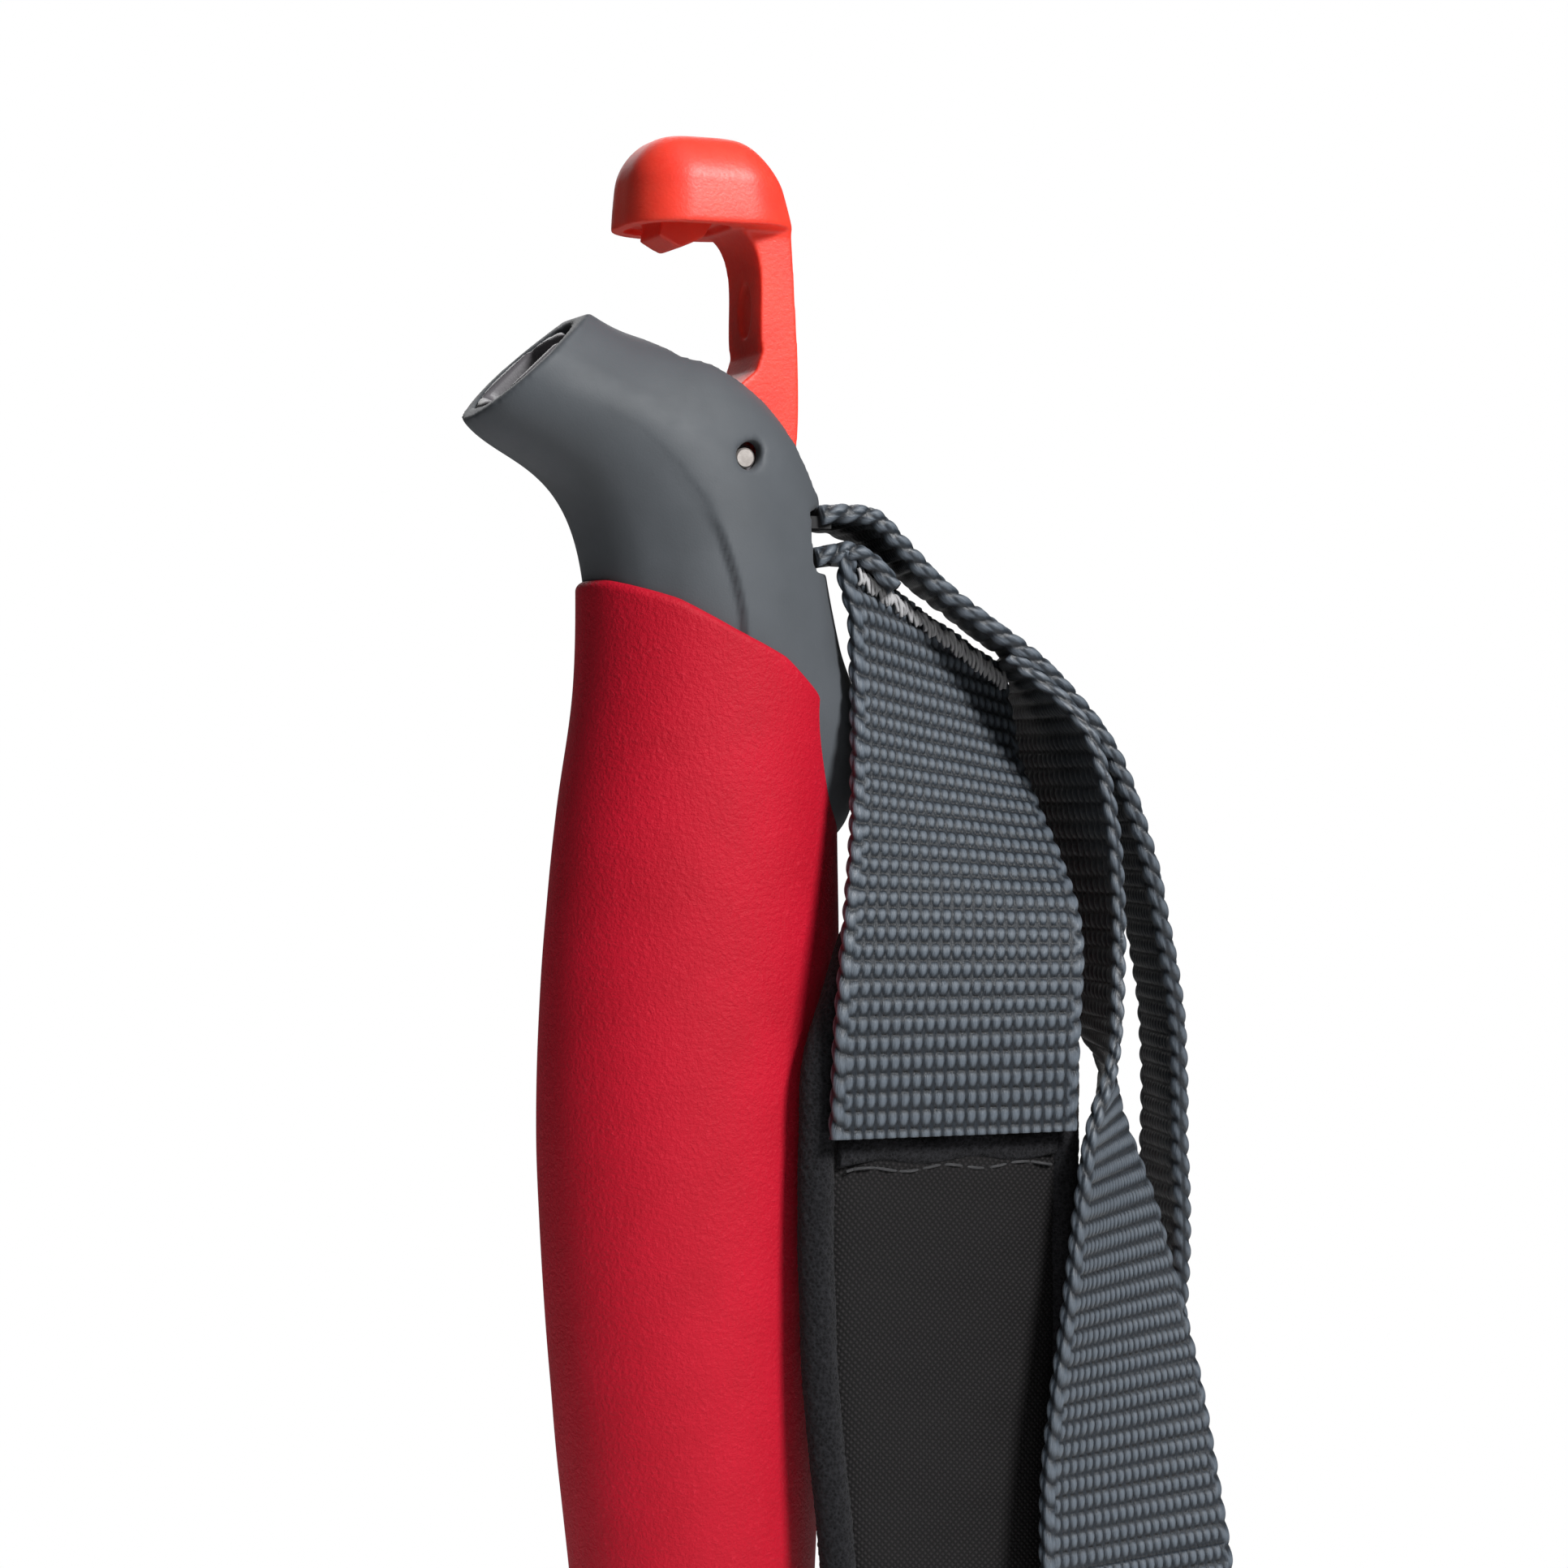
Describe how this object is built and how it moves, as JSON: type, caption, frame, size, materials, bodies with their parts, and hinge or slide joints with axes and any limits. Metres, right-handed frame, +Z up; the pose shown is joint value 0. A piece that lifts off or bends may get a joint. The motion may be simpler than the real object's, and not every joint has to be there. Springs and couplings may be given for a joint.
{
  "type": "trekking pole handle",
  "caption": "Trekking pole handle: bent soft-cover head, foam sleeve, flip-up lever that locks the strap, and a padded webbing wrist loop; bore for a pole shaft.",
  "frame": {"origin": "centre of the mouth of the shaft bore, at the bottom of the handle", "axes": "+Z up along the bore, -X towards the nose of the head, +X towards the wrist strap"},
  "size_m": [0.1031, 0.0553, 0.2534],
  "materials": {
    "core_plastic": "moulded nylon, satin",
    "soft_cover": "soft-touch overmould, matt",
    "foam": "EVA foam, fine open skin",
    "steel": "ground dowel",
    "lever_plastic": "moulded acetal, satin",
    "webbing": "woven polyester webbing",
    "pad_foam": "closed-cell padding",
    "pad_cloth": "fine woven cloth",
    "pad_lining": "brushed fleece",
    "binding": "stretch edge binding, brushed",
    "thread": "sewing thread"
  },
  "bodies": {
    "grip": {"grip_core": "core_plastic", "head_cover": "soft_cover", "foam_sleeve": "foam", "bottom_collar": "soft_cover", "lever_pin": "steel", "strap_anchor_pin": "steel", "strap_anvil": "steel", "strap_inner_web": "webbing"},
    "lever": {"flip_lever": "lever_plastic"},
    "shoe": {"clamp_shoe": "core_plastic"},
    "strap": {"adjusting_web": "webbing", "tail_hem": "webbing", "rear_web": "webbing", "front_web": "webbing", "pad_foam": "pad_foam", "pad_face": "pad_cloth", "pad_lining": "pad_lining", "pad_binding_front": "binding", "pad_binding_rear": "binding", "zigzag_stitches": "thread", "pad_stitches": "thread"}
  },
  "joints": [
    {"name": "lever_flip", "type": "hinge", "parent": "grip", "child": "lever", "pos_m": [0.0034, 0, 0.1564], "axis": [0, -1, 0], "range_deg": [0, 53]},
    {"name": "shoe_press", "type": "slide", "parent": "grip", "child": "shoe", "axis": [0, 0, -1], "range_m": [0, 0.0012]},
    {"name": "strap_swing", "type": "hinge", "parent": "grip", "child": "strap", "pos_m": [0.0176, 0, 0.149], "axis": [0, -1, 0], "range_deg": [0, 60]}
  ],
  "couplings": [
    {"joint": "shoe_press", "follows": "lever_flip", "m_per_rad": 0.001297}
  ]
}
